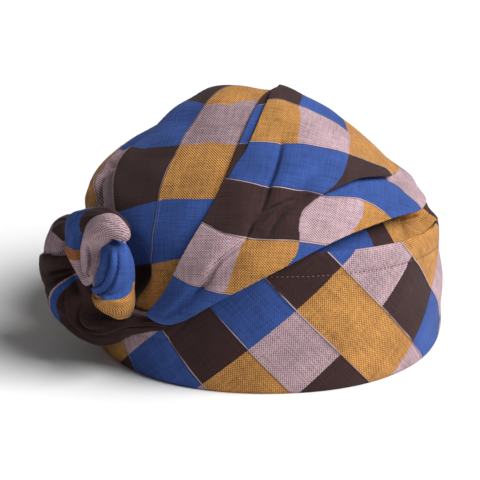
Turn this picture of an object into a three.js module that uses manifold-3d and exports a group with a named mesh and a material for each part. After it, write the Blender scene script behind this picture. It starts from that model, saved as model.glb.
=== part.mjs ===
// A soft turban hat that stands on its band: a deep folded band, a draped crown, a wrap that is
// gathered at the knot and fans out over the crown, and a side knot of four twisted strands.
// Millimetres, +Z up. The front faces -Y and the knot is at the front on the -X side.
import * as THREE from "three";
import { mergeVertices } from "three/addons/utils/BufferGeometryUtils.js";
import Module from "manifold-3d";

const wasm = await Module();
wasm.setup();

// Driving sizes. A heading is measured round the hat from +X, in degrees, and the front is -90.
const BAND = { halfWidth: 89.6, halfLength: 95, square: 2.15, wall: 2.4, turnIn: 1.3 };
const BAND_TOP = { sides: 60, frontRise: 12, backFall: 4 };
const BAND_LEAN = { top: 5.5, from: -0.4, to: 0.3 };
const BAND_DIP = { depth: 36, heading: -140, half: 16, fade: 25 };
const CROWN = { wall: 1.6, tuck: 16, centre: 50, roll: 1, shoulder: 10, round: 3 };
const WRAP = { wall: 1.8, puff: 2, lip: 2, lipReach: 10, edge: 1, edgeReach: 5, pleatEdge: 0.02 };
const WRAP_SEAT = { steep: 1.5, corner: 12, round: 10, fall: 30, fallFrom: 18, fallTo: 60 };
const KNOT = { x: -88, y: -52, z: 48, facing: -128, lobes: 5, groove: 0.1, twist: 1.1 };
const GAP = { crown: 0.4, wrap: 0.6, strand: 0.35, knot: 0.7 };

// How finely each piece is divided
const CELLS = { around: 60, tucked: 6, dome: 11 };
const WRAP_CELLS = { long: 46, wide: 13 };
const STRAND_CELLS = { long: 18, round: 12 };

// The crown's form: how far it is from the centre point on each side, by angle above that point
const FORM = [
  { angle: 0, left: 90, right: 92, front: 93, back: 90 },
  { angle: 15, left: 96, right: 75.5, front: 90, back: 85 },
  { angle: 30, left: 86, right: 66.5, front: 82.5, back: 78 },
  { angle: 45, left: 78.7, right: 61.5, front: 75.5, back: 73 },
  { angle: 60, left: 77.6, right: 61.5, front: 71, back: 71.5 },
  { angle: 75, left: 78, right: 64.5, front: 70.5, back: 72.5 },
  { angle: 90, left: 72, right: 72, front: 72, back: 72 },
];

// Section of the band's wall by share of its height: how far it stands out, and its share of the wall
const BAND_WALL = [
  { share: 0, out: -0.9, thick: 0.6 },
  { share: 0.015, out: -0.3, thick: 0.9 },
  { share: 0.06, out: 0.1, thick: 1 },
  { share: 0.2, out: 0.3, thick: 1 },
  { share: 0.5, out: 0.2, thick: 1 },
  { share: 0.8, out: -0.6, thick: 1 },
  { share: 0.98, out: -1.3, thick: 1 },
  { share: 1, out: -1.8, thick: 0.55 },
];

// Lips of cloth on the crown, each a curve through three places given as heading and angle.
// Beside the curve one side stands up and the other sinks, and both fade over their reach.
const CROWN_LIPS = [
  { from: [-141, 6], via: [-165, 26], to: [172, 50], height: 4.2, reach: 30, dip: 2.2, dipReach: 9 },
  { from: [-150, 6], via: [-168, 22], to: [-176, 36], height: 2.4, reach: 7, dip: 1, dipReach: 6 },
  { from: [-176, 16], via: [168, 34], to: [125, 62], height: 3, reach: 16, dip: 1.4, dipReach: 8 },
  { from: [172, 20], via: [150, 36], to: [112, 52], height: 2.4, reach: 12, dip: 1.2, dipReach: 7 },
];
const CROWN_LIP = { steps: 24, softness: 1.4, fade: 16 };

// The wrap, from the knot over the front and right side to the back: its upper edge goes over the
// top, and its lower lip goes round the side. Each place is a heading and an angle.
const WRAP_SECTIONS = [
  { edge: [-130, -10], lip: [-127, -13.5] },
  { edge: [-124, -5], lip: [-119, -10] },
  { edge: [-118, 4.5], lip: [-104, 0.5] },
  { edge: [-112, 21], lip: [-75, 15] },
  { edge: [-109, 38], lip: [-49, 19] },
  { edge: [-109, 54], lip: [-22, 16.5] },
  { edge: [-113, 82], lip: [8, 15] },
  { edge: [76, 76], lip: [42, 15] },
  { edge: [90, 53], lip: [77, 14] },
  { edge: [106, 37], lip: [102, 12] },
  { edge: [124, 24], lip: [122, 10.5] },
  { edge: [142, 14], lip: [141, 9] },
];

// Folds that run along the wrap: the section, and the share of the width, where each starts and
// ends. A positive step lifts the cloth above the fold, a negative one the cloth below it, and a
// valley sinks both. Each fades over its reach, a share of the width.
const WRAP_FOLDS = [
  { name: "front pleat", from: [3.2, 0.62], to: [7, 0.84], step: 3.6, valley: 0, reach: 0.22 },
  { name: "edge pleat", from: [4.6, 0.06], to: [8, 0.14], step: -1.8, valley: 0, reach: 0.16 },
  { name: "gathered valley", from: [1.6, 0.6], to: [4.2, 0.4], step: 0, valley: 2.4, reach: 0.14 },
  { name: "crown crease", from: [2.8, 0.4], to: [5.2, 0.2], step: 0, valley: 1.4, reach: 0.06 },
  { name: "back pleat", from: [7, 0.45], to: [10.6, 0.5], step: 2.6, valley: 0, reach: 0.3 },
];

// Strands of the knot, on its own face: across to the right, up, and out from the face
const STRANDS = {
  knot_end: [
    { across: 33, up: 19, out: 9, radius: 5 },
    { across: 30, up: 11, out: 11, radius: 10 },
    { across: 26, up: 3, out: 12, radius: 12 },
    { across: 25, up: -5, out: 12, radius: 11.5 },
    { across: 27, up: -12, out: 11, radius: 9 },
    { across: 31, up: -17, out: 9, radius: 5 },
  ],
  knot_loop: [
    { across: 4, up: -8, out: 5, radius: 4.5 },
    { across: 5, up: 3, out: 9, radius: 7.5 },
    { across: 7, up: 14, out: 12, radius: 9 },
    { across: 15, up: 23.5, out: 14, radius: 9.5 },
    { across: 25, up: 24.5, out: 14, radius: 9 },
    { across: 33, up: 17, out: 13, radius: 6.5 },
    { across: 36, up: 9, out: 9, radius: 4 },
  ],
  knot_wrap: [
    { across: 34, up: 15, out: -3, radius: 5 },
    { across: 30, up: 25, out: 4, radius: 8.5 },
    { across: 17, up: 28, out: 5, radius: 9 },
    { across: 5, up: 25, out: 5, radius: 9 },
    { across: -3, up: 15, out: 4, radius: 9 },
    { across: -3, up: 4, out: 3, radius: 8.5 },
    { across: 4, up: -7, out: 1, radius: 6 },
  ],
  knot_coil: [
    { across: -6, up: 21, out: -7, radius: 7 },
    { across: -15, up: 13, out: -7, radius: 10 },
    { across: -22, up: 0, out: -5, radius: 13.5 },
    { across: -16, up: -13, out: -3, radius: 14.5 },
    { across: -1, up: -21, out: 0, radius: 14 },
    { across: 17, up: -22, out: 3, radius: 12 },
    { across: 36, up: -19, out: 3, radius: 4.5 },
  ],
};

// Main colour of each piece's checked cloth
const COLOURS = {
  band: 0xc08a35,
  crown: 0x2f52a8,
  front_wrap: 0xb79fae,
  knot_end: 0x2f52a8,
  knot_loop: 0xb79fae,
  knot_wrap: 0x3f2d2c,
  knot_coil: 0x3f2d2c,
};

const { PI, sin, cos, tan, sqrt, exp, min, max, floor, abs, atan2, asin } = Math;
const { degToRad: radians, lerp, smoothstep } = THREE.MathUtils;

// Smooth curve through a column of values, at a row that need not be whole
function along(values, at) {
  const last = values.length - 1;
  const i = min(max(floor(at), 0), last - 1);
  const t = at - i;
  const [a, b, c, d] = [i - 1, i, i + 1, i + 2].map((k) => values[min(max(k, 0), last)]);
  return b + 0.5 * t * (c - a + t * (2 * a - 5 * b + 4 * c - d + t * (3 * (b - c) + d - a)));
}

// Smaller and larger of two lengths, rounded where they meet
function softMin(a, b, round) {
  const near = max(round - abs(a - b), 0) / round;
  return min(a, b) - (near * near * round) / 4;
}

function softMax(a, b, round) {
  return -softMin(-a, -b, round);
}

function directionAt(heading, angle) {
  return new THREE.Vector3(cos(angle) * cos(heading), cos(angle) * sin(heading), sin(angle));
}

function tableDirection([heading, angle]) {
  return directionAt(radians(heading), radians(angle));
}

function anglesOf(direction) {
  return [atan2(direction.y, direction.x), asin(min(max(direction.z, -1), 1))];
}

// Place at a distance from the crown's centre point
function placeAt(direction, distance) {
  const place = direction.clone().multiplyScalar(distance);
  place.z += CROWN.centre;
  return place;
}

// Band

const BAND_PROUD = max(...BAND_WALL.map((row) => row.out));

// Height of the band's top edge without the dip under the knot, and with it
function plainTop(heading) {
  const rise = sin(heading) < 0 ? BAND_TOP.frontRise : BAND_TOP.backFall;
  return BAND_TOP.sides - rise * sin(heading);
}

function bandTop(heading) {
  const turn = heading - radians(BAND_DIP.heading);
  const away = abs(atan2(sin(turn), cos(turn)));
  const [fadeStart, fadeEnd] = [BAND_DIP.half, BAND_DIP.half + BAND_DIP.fade].map(radians);
  return plainTop(heading) - BAND_DIP.depth * (1 - smoothstep(away, fadeStart, fadeEnd));
}

// How far the band's outside is from the axis at a share of its height
function bandReach(heading, share) {
  const across = abs(cos(heading) / BAND.halfWidth) ** BAND.square;
  const deep = abs(sin(heading) / BAND.halfLength) ** BAND.square;
  const lean = BAND_LEAN.top * smoothstep(sin(heading), BAND_LEAN.from, BAND_LEAN.to);
  return (across + deep) ** (-1 / BAND.square) - lean * share ** 2;
}

function bandPoint(heading, row, inward) {
  const { share, out, thick } = BAND_WALL[row];
  const reach = bandReach(heading, share) + out - inward * BAND.wall * thick;
  return new THREE.Vector3(reach * cos(heading), reach * sin(heading), share * bandTop(heading));
}

// Distance from the centre point to a cover over the band, which slopes in above a top height
function bandCover(heading, angle, topHeight) {
  const top = topHeight - CROWN.centre;
  const share = (CROWN.centre + BAND.halfLength * tan(angle)) / topHeight;
  const reach = bandReach(heading, min(max(share, 0), 1)) + BAND_PROUD;
  const wall = reach / cos(angle);
  if (angle < 0) return wall;
  const { steep, corner, fall, fallFrom, fallTo } = WRAP_SEAT;
  const slope = (reach + steep * top) / (cos(angle) + steep * sin(angle));
  return softMin(wall, slope, corner) - fall * smoothstep(angle, radians(fallFrom), radians(fallTo));
}

// Crown

const FORM_SIDES = Object.fromEntries(
  ["left", "right", "front", "back"].map((side) => [side, FORM.map((row) => row[side])]),
);

function formDistance(heading, angle) {
  const at = (max(angle, 0) / (PI / 2)) * (FORM.length - 1);
  const across = along(cos(heading) > 0 ? FORM_SIDES.right : FORM_SIDES.left, at);
  const deep = along(sin(heading) > 0 ? FORM_SIDES.back : FORM_SIDES.front, at);
  const flat = 1 / sqrt((cos(heading) / across) ** 2 + (sin(heading) / deep) ** 2);
  return angle < 0 ? flat / cos(angle) : flat;
}

const LIP_CURVES = CROWN_LIPS.map((lip) => {
  const curve = new THREE.CatmullRomCurve3([lip.from, lip.via, lip.to].map(tableDirection));
  return { ...lip, points: curve.getPoints(CROWN_LIP.steps).map((point) => point.normalize()) };
});

// Height of the cloth above the form beside one lip
function lipHeight(lip, direction, distance) {
  const { steps, softness, fade } = CROWN_LIP;
  const gaps = lip.points.map((point) => point.distanceToSquared(direction));
  const nearest = gaps.indexOf(min(...gaps));
  const i = min(max(nearest, 1), steps - 1);
  const tangent = lip.points[i + 1].clone().sub(lip.points[i - 1]).normalize();
  const across = tangent.cross(lip.points[i]).dot(direction.clone().sub(lip.points[i]));
  const past = sqrt(max(gaps[nearest] - across ** 2, 0)) * distance;
  const side = across * distance;
  const raised = 1 / (1 + exp(-side / softness));
  const up = lip.height * exp(-max(side, 0) / lip.reach) * raised;
  const down = lip.dip * exp(-max(-side, 0) / lip.dipReach) * (1 - raised);
  const ends = sin((PI * (nearest + 3)) / (steps + 5));
  return (up - down) * ends * exp(-((past / fade) ** 2));
}

// Distance to the crown's outside: the draped form, held in by the band below its top edge
function crownDistance(direction) {
  const [heading, angle] = anglesOf(direction);
  const form = formDistance(heading, angle);
  const cloth = LIP_CURVES.reduce((sum, lip) => sum + lipHeight(lip, direction, form), form);
  const inside = bandReach(heading, 1) - BAND.wall - BAND.turnIn - GAP.crown;
  const top = bandTop(heading) + CROWN.roll - CROWN.centre;
  if (inside * tan(angle) <= top) return softMin(cloth, inside / cos(angle), CROWN.round);
  const slope = cos(angle) - sin(angle);
  return slope > 0 ? softMin(cloth, (inside - top) / slope, CROWN.round) : cloth;
}

// Rows of the crown: the first ones climb out of the band, and the others share the dome
function crownAngle(heading, row) {
  const angleAt = (z) => atan2(z - CROWN.centre, bandReach(heading, 1) - BAND.wall);
  const low = bandTop(heading) - CROWN.tuck;
  const high = bandTop(heading) + CROWN.shoulder;
  if (row <= CELLS.tucked) return angleAt(lerp(low, high, row / CELLS.tucked));
  return lerp(angleAt(high), PI / 2, (row - CELLS.tucked) / CELLS.dome);
}

function crownPoint(heading, row, inward) {
  const direction = directionAt(heading, crownAngle(heading, row));
  return placeAt(direction, crownDistance(direction) - inward * CROWN.wall);
}

// Wrap

const WRAP_EDGES = ["edge", "lip"].map((side) => {
  const directions = WRAP_SECTIONS.map((section) => tableDirection(section[side]));
  return ["x", "y", "z"].map((axis) => directions.map((direction) => direction[axis]));
});

// Direction at a section, which need not be whole, and a share of the width from edge to lip
function wrapDirection(section, share) {
  const [edge, lip] = WRAP_EDGES.map((axes) =>
    new THREE.Vector3(...axes.map((values) => along(values, section))).normalize(),
  );
  const turn = edge.angleTo(lip);
  const direction = edge.multiplyScalar(sin((1 - share) * turn));
  direction.addScaledVector(lip, sin(share * turn)).normalize();
  return { direction, width: turn * BAND.halfWidth };
}

// How far one fold moves the cloth
function foldLift(fold, section, share) {
  const run = (section - fold.from[0]) / (fold.to[0] - fold.from[0]);
  if (run <= 0 || run >= 1) return 0;
  const past = share - lerp(fold.from[1], fold.to[1], run);
  const above = 1 / (1 + exp(past / WRAP.pleatEdge));
  const lifted = fold.step > 0 ? above : above - 1;
  const step = fold.step * lifted * exp(-abs(past) / fold.reach);
  return sqrt(sin(PI * run)) * (step - fold.valley * exp(-((past / fold.reach) ** 2)));
}

// How far the cloth stands off what it lies on
function wrapLift(section, share, width) {
  const ends = sin((PI * section) / (WRAP_SECTIONS.length - 1));
  const puff = WRAP.puff * ends * sin(PI * share);
  const edge = WRAP.edge * exp(-(((share * width) / WRAP.edgeReach) ** 2));
  const lip = WRAP.lip * exp(-((((1 - share) * width) / WRAP.lipReach) ** 2));
  const folds = WRAP_FOLDS.reduce((sum, fold) => sum + foldLift(fold, section, share), 0);
  return max(puff + edge + lip + folds, 0);
}

function wrapPoint(section, share, above) {
  const { direction, width } = wrapDirection(section, share);
  const [heading, angle] = anglesOf(direction);
  const cover = bandCover(heading, angle, plainTop(heading));
  const seat = softMax(crownDistance(direction), cover, WRAP_SEAT.round) + GAP.wrap;
  return placeAt(direction, seat + wrapLift(section, share, width) + above);
}

// Solids

// One closed body from points and triangles, turned so that its faces point out
function body(points, triangles) {
  const geometry = new THREE.BufferGeometry().setFromPoints(points).setIndex(triangles);
  const merged = mergeVertices(geometry);
  const { position } = merged.attributes;
  const kept = [];
  let volume = 0;
  for (let i = 0; i < merged.index.count; i += 3) {
    const ids = [0, 1, 2].map((k) => merged.index.getX(i + k));
    if (new Set(ids).size < 3) continue;
    const [a, b, c] = ids.map((id) => new THREE.Vector3().fromBufferAttribute(position, id));
    volume += a.dot(b.cross(c));
    kept.push(...ids);
  }
  if (volume < 0) kept.reverse();
  const mesh = { numProp: 3, vertProperties: position.array, triVerts: new Uint32Array(kept) };
  return new wasm.Manifold(new wasm.Mesh(mesh));
}

// A wall between two sheets on one grid. pointAt takes a column, a row, and 0 outside or 1 inside.
function wall(columns, rows, ring, pointAt) {
  const points = [];
  const triangles = [];
  const perRow = ring ? columns : columns + 1;
  for (const side of [0, 1])
    for (let row = 0; row <= rows; row++)
      for (let column = 0; column < perRow; column++) points.push(pointAt(column, row, side));
  const id = (column, row, side) => (side * (rows + 1) + row) * perRow + (column % perRow);
  const quad = (a, b, c, d) => triangles.push(a, b, c, a, c, d);
  for (let column = 0; column < columns; column++) {
    const next = column + 1;
    for (let row = 0; row < rows; row++) {
      quad(id(column, row, 0), id(next, row, 0), id(next, row + 1, 0), id(column, row + 1, 0));
      quad(id(column, row + 1, 1), id(next, row + 1, 1), id(next, row, 1), id(column, row, 1));
    }
    quad(id(next, 0, 0), id(column, 0, 0), id(column, 0, 1), id(next, 0, 1));
    quad(id(column, rows, 0), id(next, rows, 0), id(next, rows, 1), id(column, rows, 1));
  }
  for (let row = 0; row < rows && !ring; row++) {
    quad(id(0, row, 0), id(0, row + 1, 0), id(0, row + 1, 1), id(0, row, 1));
    quad(id(columns, row + 1, 0), id(columns, row, 0), id(columns, row, 1), id(columns, row + 1, 1));
  }
  return body(points, triangles);
}

function headingOf(column) {
  return (2 * PI * column) / CELLS.around;
}

function bandSolid() {
  return wall(CELLS.around, BAND_WALL.length - 1, true, (column, row, inward) =>
    bandPoint(headingOf(column), row, inward),
  );
}

function crownSolid() {
  return wall(CELLS.around, CELLS.tucked + CELLS.dome, true, (column, row, inward) =>
    crownPoint(headingOf(column), row, inward),
  );
}

function wrapSolid(margin) {
  const last = WRAP_SECTIONS.length - 1;
  return wall(WRAP_CELLS.long, WRAP_CELLS.wide, false, (column, row, inward) =>
    wrapPoint(
      (last * column) / WRAP_CELLS.long,
      row / WRAP_CELLS.wide,
      inward ? -margin : WRAP.wall + margin,
    ),
  );
}

// The room that the band and crown take up beside the knot, with a margin
function hatRoom(margin) {
  const [lowest, core, rows] = [radians(-32), 20, 24];
  return wall(CELLS.around, rows, true, (column, row, inward) => {
    const heading = headingOf(column);
    const angle = lerp(lowest, PI / 2, row / rows);
    const direction = directionAt(heading, angle);
    const outside = max(crownDistance(direction), bandCover(heading, angle, bandTop(heading)));
    return placeAt(direction, inward ? core : outside + margin);
  });
}

// A tapered, grooved and twisted strand through the rows of its table
function strand(rows, margin) {
  const { long, round } = STRAND_CELLS;
  const facing = radians(KNOT.facing);
  const out = directionAt(facing, 0);
  const across = directionAt(facing + PI / 2, 0);
  const path = rows.map((row) =>
    new THREE.Vector3(KNOT.x, KNOT.y, KNOT.z + row.up)
      .addScaledVector(across, row.across)
      .addScaledVector(out, row.out),
  );
  const curve = new THREE.CatmullRomCurve3(path);
  const frames = curve.computeFrenetFrames(long);
  const radii = rows.map((row) => row.radius);
  const points = [];
  for (let step = 0; step <= long; step++) {
    const share = curve.getUtoTmapping(step / long);
    const radius = along(radii, share * (rows.length - 1)) + margin;
    for (let side = 0; side < round; side++) {
      const turn = (2 * PI * side) / round;
      const lobe = abs(sin((KNOT.lobes * (turn + (KNOT.twist * step) / long)) / 2));
      const reach = radius * (1 - KNOT.groove * lobe ** 6);
      points.push(
        curve
          .getPoint(share)
          .addScaledVector(frames.normals[step], reach * cos(turn))
          .addScaledVector(frames.binormals[step], reach * sin(turn)),
      );
    }
  }
  const ends = [0, 1].map((share) => points.push(curve.getPoint(share)) - 1);
  const triangles = [];
  const id = (step, side) => step * round + (side % round);
  for (let side = 0; side < round; side++) {
    for (let step = 0; step < long; step++) {
      triangles.push(id(step, side), id(step, side + 1), id(step + 1, side + 1));
      triangles.push(id(step, side), id(step + 1, side + 1), id(step + 1, side));
    }
    triangles.push(ends[0], id(0, side + 1), id(0, side));
    triangles.push(ends[1], id(long, side), id(long, side + 1));
  }
  return body(points, triangles);
}

// Each strand lies on the hat and round the strands before it
function knotSolids() {
  const solids = {};
  let taken = hatRoom(GAP.knot).add(wrapSolid(GAP.strand));
  for (const [name, rows] of Object.entries(STRANDS)) {
    const pieces = strand(rows, 0).subtract(taken).decompose();
    solids[name] = pieces.reduce((a, b) => (a.volume() > b.volume() ? a : b));
    taken = taken.add(strand(rows, GAP.strand));
  }
  return solids;
}

function meshOf(name, solid) {
  const { vertProperties, triVerts } = solid.getMesh();
  const geometry = new THREE.BufferGeometry();
  geometry.setAttribute("position", new THREE.BufferAttribute(vertProperties, 3));
  geometry.setIndex(new THREE.BufferAttribute(triVerts, 1));
  geometry.computeVertexNormals();
  const material = new THREE.MeshStandardMaterial({ color: COLOURS[name], roughness: 0.9, metalness: 0 });
  const mesh = new THREE.Mesh(geometry, material);
  mesh.name = name;
  return mesh;
}

const solids = { band: bandSolid(), crown: crownSolid(), front_wrap: wrapSolid(0), ...knotSolids() };
const hat = new THREE.Group();
for (const [name, solid] of Object.entries(solids)) hat.add(meshOf(name, solid));

// The origin is under the middle of the whole hat, on the surface that it stands on
const box = new THREE.Box3().setFromObject(hat);
const middle = box.getCenter(new THREE.Vector3());
hat.position.set(-middle.x, -middle.y, -box.min.z);

export default hat;
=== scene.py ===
"""The looks of the knotted turban hat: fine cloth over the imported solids, with its check, folds and stitches.

Lengths in the tables are millimetres in the hat's own axes: the axis goes up through the middle of
the band, the front is -Y, and a heading is measured round the hat from +X in degrees.
"""
import math
from types import SimpleNamespace as Sizes

import bpy
import numpy as np
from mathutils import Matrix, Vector


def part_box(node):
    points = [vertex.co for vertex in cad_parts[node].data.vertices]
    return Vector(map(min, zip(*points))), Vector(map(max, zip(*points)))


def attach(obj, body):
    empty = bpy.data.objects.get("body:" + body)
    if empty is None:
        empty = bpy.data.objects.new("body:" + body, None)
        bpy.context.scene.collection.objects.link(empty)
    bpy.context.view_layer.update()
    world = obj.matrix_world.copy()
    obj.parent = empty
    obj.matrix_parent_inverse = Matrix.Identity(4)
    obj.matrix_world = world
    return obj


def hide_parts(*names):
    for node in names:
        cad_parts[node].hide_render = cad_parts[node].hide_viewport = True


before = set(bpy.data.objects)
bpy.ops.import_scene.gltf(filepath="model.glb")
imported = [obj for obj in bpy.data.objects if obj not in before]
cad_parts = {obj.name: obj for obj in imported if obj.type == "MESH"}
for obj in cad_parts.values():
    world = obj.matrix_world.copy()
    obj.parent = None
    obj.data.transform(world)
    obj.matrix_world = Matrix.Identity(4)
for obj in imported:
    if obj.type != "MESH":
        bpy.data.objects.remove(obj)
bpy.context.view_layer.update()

MM = 0.001


def table(columns, *rows):
    """The columns of a small table by name, as arrays."""
    return {name: np.array(values, float) for name, values in zip(columns.split(), zip(*rows))}


def fold(depth, reach, *through):
    """A fold in cloth: how deep it sinks, how far it reaches to its sides, and places that it runs through.
    A fold with a depth below nothing is a ridge."""
    return Sizes(depth=depth, reach=reach, through=through)


def add_object(name, data):
    made = bpy.data.objects.new(name, data)
    bpy.context.scene.collection.objects.link(made)
    return made


# Sizes that the solids have too
BAND = Sizes(half_width=89.6, half_length=95.0, square=2.15, wall=2.4, turn_in=1.3, proud=0.3)
BAND_TOP = Sizes(sides=60.0, front_rise=12.0, back_fall=4.0)
BAND_LEAN = Sizes(top=5.5, start=-0.4, end=0.3)
BAND_DIP = Sizes(depth=36.0, heading=-140.0, half=16.0, fade=25.0)
CROWN = Sizes(tuck=16.0, centre=50.0, roll=1.0, shoulder=10.0, round=3.0)
WRAP_SEAT = Sizes(steep=1.5, corner=12.0, round=10.0, fall=30.0, fall_from=18.0, fall_to=60.0)
KNOT = Sizes(x=-88.0, y=-52.0, z=48.0, facing=-128.0)
GAP = Sizes(crown=0.4, wrap=0.6, knot=0.7)

# How finely each piece is divided
BAND_CELLS = Sizes(around=440, outside=60, inside=18, roll=6)
CROWN_CELLS = Sizes(around=540, tucked=24, dome=130)
WRAP_CELLS = Sizes(long=300)
STRAND_CELLS = Sizes(long=180, round=120)

FORM = table(
    "angle left right front back",
    (0, 90, 92, 93, 90),
    (15, 96, 75.5, 90, 85),
    (30, 86, 66.5, 82.5, 78),
    (45, 78.7, 61.5, 75.5, 73),
    (60, 77.6, 61.5, 71, 71.5),
    (75, 78, 64.5, 70.5, 72.5),
    (90, 72, 72, 72, 72),
)
BAND_WALL = table(
    "share out thick",
    (0, -0.9, 0.6),
    (0.015, -0.3, 0.9),
    (0.06, 0.1, 1),
    (0.2, 0.3, 1),
    (0.5, 0.2, 1),
    (0.8, -0.6, 1),
    (0.98, -1.3, 1),
    (1, -1.8, 0.55),
)

# Lips of cloth on the crown: a curve through a few places, each a heading and an angle
CROWN_LIPS = [
    Sizes(
        through=(
            (-139, 8), (-148, 17), (-157, 23), (-163, 26.5), (-169, 31),
            (-171, 36.5), (-175, 43.5), (175, 54), (158, 65), (140, 72),
        ),
        height=3.6, reach=30, dip=(4, 4.5, 12, 14), dip_reach=22,
    ),
    Sizes(through=((-176, 16), (168, 34), (125, 62)), height=3, reach=16, dip=(1.4,), dip_reach=8),
    Sizes(through=((172, 20), (150, 36), (112, 52)), height=2.4, reach=12, dip=(1.2,), dip_reach=7),
]
CROWN_LIP = Sizes(steps=60, softness=0.8, fade=16.0, early=7, late=6)

WRAP_SECTIONS = table(
    "edge_heading edge_angle lip_heading lip_angle",
    (-130, -10, -127, -13.5),
    (-124, -5, -119, -10),
    (-118, 4.5, -104, 0.5),
    (-112, 21, -75, 15),
    (-109, 38, -49, 19),
    (-109, 54, -22, 16.5),
    (-113, 82, 8, 15),
    (76, 76, 42, 15),
    (90, 53, 77, 14),
    (106, 37, 102, 12),
    (124, 24, 122, 10.5),
    (142, 14, 141, 9),
)

# The knot's strands in the knot's own axes: across and up as it faces, and out towards the viewer
STRANDS = {
    "knot_end": table(
        "across up out radius",
        (22.3, 25.4, 6, 4.2),
        (24.2, 21.8, 9.5, 5.6),
        (26.8, 18.3, 12, 7.4),
        (28.3, 14.1, 13.2, 8.8),
        (28, 8, 13.5, 9.6),
        (25.5, 0.7, 13, 11),
        (24.6, -4.6, 12, 11.2),
        (23.9, -6.8, 11.5, 10.9),
        (21.8, -10.7, 10.5, 10.2),
    ),
    "knot_loop": table(
        "across up out radius",
        (2.5, 0.4, 4, 3),
        (6.6, 7.4, 7, 4.5),
        (9.7, 14.6, 9.5, 5.6),
        (14, 22.8, 12, 6.6),
        (19.8, 29.7, 13.5, 7),
        (26, 32.9, 14, 6.3),
        (30.6, 32, 13.5, 4.8),
        (32.9, 29.7, 12.5, 3.6),
        (32.7, 26.8, 11, 2.4),
    ),
    "knot_wrap": table(
        "across up out radius",
        (28.6, 26.3, 5, 2.5),
        (26.8, 31.7, 7, 3.4),
        (19.7, 34.2, 8, 4.6),
        (10.3, 31.9, 8, 5.4),
        (0.3, 26.4, 7, 6.8),
        (-3, 19.5, 6, 6.3),
        (-4.3, 12.1, 5, 5.6),
        (-3.6, 5.8, 4, 4.4),
        (-0.6, -1, 3.5, 3.2),
        (1.7, -6.5, 3, 2),
    ),
    "knot_coil": table(
        "across up out radius",
        (8, 19.5, -6, 2.2),
        (3, 20.6, -5, 3.2),
        (-3, 21.5, -3, 4),
        (-9, 21.5, 0, 4.6),
        (-14.5, 19.7, -2, 6),
        (-19.7, 13.8, -3, 8),
        (-21.5, 6.9, -3, 10),
        (-22.5, -0.9, -3, 12),
        (-21.2, -9, -2.5, 13),
        (-17.2, -17, -2, 13),
        (-11, -23.2, -1, 12.8),
        (-3.2, -28, 0, 11.8),
        (5.9, -29.6, 1, 10.4),
        (14.6, -28, 1.5, 8.2),
        (25.5, -22.6, 2, 5),
        (35.5, -19.7, 1.5, 3.8),
        (43.5, -17.7, 1, 2.8),
        (49.9, -16.2, 0.5, 1.6),
    ),
}

# The hat's axis in the frame: the band is even from side to side, and its front is the lowest Y
band_low, band_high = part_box("band")
AXIS = Vector((
    (band_low.x + band_high.x) / 2,
    band_low.y + (BAND.half_length + BAND.proud) * MM,
    band_low.z,
))


# Camera

CAMERA = Sizes(target=(-14.0, 0.0, 45.1), elevation=20.1, distance=1300.0, lens=189.8, sensor=36.0)


def add_camera():
    tilt = math.radians(CAMERA.elevation)
    back = Vector((0, -math.cos(tilt), math.sin(tilt)))
    data = bpy.data.cameras.new("camera")
    data.lens = CAMERA.lens
    data.sensor_width = CAMERA.sensor
    camera = add_object("camera", data)
    camera.location = AXIS + (Vector(CAMERA.target) + back * CAMERA.distance) * MM
    camera.rotation_euler = (-back).to_track_quat("-Z", "Y").to_euler()
    bpy.context.scene.camera = camera


add_camera()


# Curves and directions

def along(values, at):
    """Smooth curve through a column of values, at rows that need not be whole."""
    last = len(values) - 1
    i = np.clip(np.floor(at).astype(int), 0, last - 1)
    t = at - i
    a, b, c, d = [values[np.clip(i + k, 0, last)] for k in (-1, 0, 1, 2)]
    return b + 0.5 * t * (c - a + t * (2 * a - 5 * b + 4 * c - d + t * (3 * (b - c) + d - a)))


def curve_through(corners, at):
    """Smooth curve through places, one to a row."""
    return np.stack([along(corners[:, axis], at) for axis in range(corners.shape[1])], -1)


def swell(step, steps, early, late):
    """Rise and fall along a curve: it starts some steps before the first one and ends some after the last."""
    return np.sin(math.pi * (step + early) / (steps + early + late))


def soft_min(a, b, round_off):
    near = np.maximum(round_off - np.abs(a - b), 0) / round_off
    return np.minimum(a, b) - near * near * round_off / 4


def soft_max(a, b, round_off):
    return -soft_min(-a, -b, round_off)


def smoothstep(x, start, end):
    t = np.clip((x - start) / (end - start), 0, 1)
    return t * t * (3 - 2 * t)


def unit(vectors):
    return vectors / np.linalg.norm(vectors, axis=-1, keepdims=True)


def direction_at(heading, angle):
    flat = np.cos(angle)
    return np.stack([flat * np.cos(heading), flat * np.sin(heading), np.sin(angle) + 0 * heading], -1)


def angles_of(direction):
    return np.arctan2(direction[..., 1], direction[..., 0]), np.arcsin(np.clip(direction[..., 2], -1, 1))


def place_at(direction, distance):
    """Place at a distance from the crown's centre point."""
    return direction * distance[..., None] + np.array([0, 0, CROWN.centre])


# Gentle waves in the cloth: how high, how many, the longest, the shortest and the seed of their draw
RIPPLES = {
    "band": Sizes(height=0.45, count=9, longest=90, shortest=22, seed=3),
    "crown": Sizes(height=0.35, count=12, longest=70, shortest=18, seed=11),
    "wrap": Sizes(height=0.3, count=12, longest=60, shortest=16, seed=23),
    "strand": Sizes(height=0.2, count=10, longest=14, shortest=5, seed=31),
}


def ripple(name, *coordinates):
    """Gentle waves over two or three coordinates in millimetres."""
    size = RIPPLES[name]
    rng = np.random.default_rng(size.seed)
    total = 0
    for _ in range(size.count):
        turn = unit(rng.normal(size=len(coordinates)))
        wave = math.exp(rng.uniform(math.log(size.shortest), math.log(size.longest)))
        phase = rng.uniform(0, 2 * math.pi)
        position = sum(t * c for t, c in zip(turn, coordinates))
        total = total + np.sin(2 * math.pi * position / wave + phase)
    return size.height * total / math.sqrt(size.count / 2)


# Form of the band

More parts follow.
